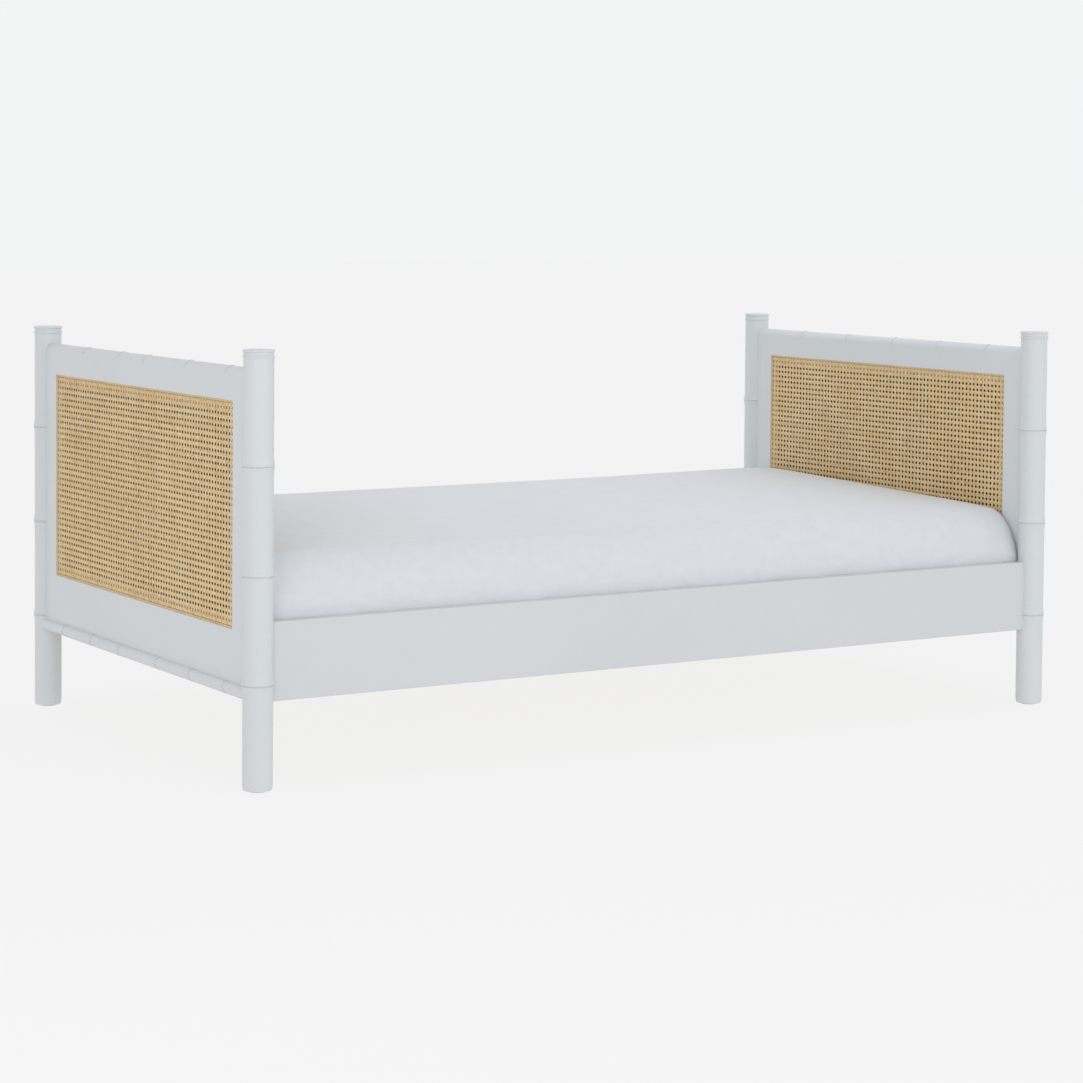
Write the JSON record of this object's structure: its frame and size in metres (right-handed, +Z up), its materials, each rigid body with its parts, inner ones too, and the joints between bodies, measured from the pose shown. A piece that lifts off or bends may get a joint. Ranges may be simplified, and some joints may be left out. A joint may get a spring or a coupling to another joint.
{
  "type": "daybed",
  "caption": "Daybed with round faux-bamboo posts, two equal end panels with woven cane insets, plain side rails, a slat deck and a mattress in a fitted sheet.",
  "frame": {"origin": "on the floor under the middle of the bed, which is the bottom centre of its bounding box", "axes": "+X from the foot end to the head end, +Y from the front side to the back side, +Z up"},
  "size_m": [2.0238, 1.1358, 0.854],
  "materials": {
    "white_paint": "satin white paint",
    "cane": "natural woven cane, semi-matt",
    "reed": "natural reed, semi-matt",
    "backing_board": "dark stained, matt",
    "bare_wood": "bare sanded softwood",
    "steel": "zinc plated",
    "glide_plastic": "matt",
    "sheet_fabric": "smooth white woven cotton"
  },
  "bodies": {
    "frame": {"backing_board_foot": "backing_board", "backing_board_head": "backing_board", "bottom_bead_foot": "white_paint", "bottom_bead_head": "white_paint", "bottom_rail_foot": "white_paint", "bottom_rail_head": "white_paint", "cane_inner_foot": "cane", "cane_inner_head": "cane", "cane_outer_foot": "cane", "cane_outer_head": "cane", "cane_spline_inner_foot": "reed", "cane_spline_inner_head": "reed", "cane_spline_outer_foot": "reed", "cane_spline_outer_head": "reed", "cleat_screws": "steel", "glide_foot_back": "glide_plastic", "glide_foot_front": "glide_plastic", "glide_head_back": "glide_plastic", "glide_head_front": "glide_plastic", "hook_plate_foot_back": "steel", "hook_plate_foot_front": "steel", "hook_plate_head_back": "steel", "hook_plate_head_front": "steel", "hook_plate_screws": "steel", "post_foot_back": "white_paint", "post_foot_front": "white_paint", "post_head_back": "white_paint", "post_head_front": "white_paint", "post_plate_foot_back": "steel", "post_plate_foot_front": "steel", "post_plate_head_back": "steel", "post_plate_head_front": "steel", "post_plate_screws": "steel", "side_rail_back": "white_paint", "side_rail_front": "white_paint", "slat_01": "bare_wood", "slat_02": "bare_wood", "slat_03": "bare_wood", "slat_04": "bare_wood", "slat_05": "bare_wood", "slat_06": "bare_wood", "slat_07": "bare_wood", "slat_08": "bare_wood", "slat_09": "bare_wood", "slat_10": "bare_wood", "slat_11": "bare_wood", "slat_12": "bare_wood", "slat_13": "bare_wood", "slat_cleat_back": "bare_wood", "slat_cleat_front": "bare_wood", "slat_screws": "steel", "stile_foot_back": "white_paint", "stile_foot_front": "white_paint", "stile_head_back": "white_paint", "stile_head_front": "white_paint", "top_cap_foot": "white_paint", "top_cap_head": "white_paint", "top_rail_foot": "white_paint", "top_rail_head": "white_paint"},
    "mattress": {"mattress": "sheet_fabric"}
  },
  "joints": [
    {"name": "mattress_lift", "type": "slide", "parent": "frame", "child": "mattress", "axis": [0, 0, 1], "range_m": [0, 0.65]}
  ]
}
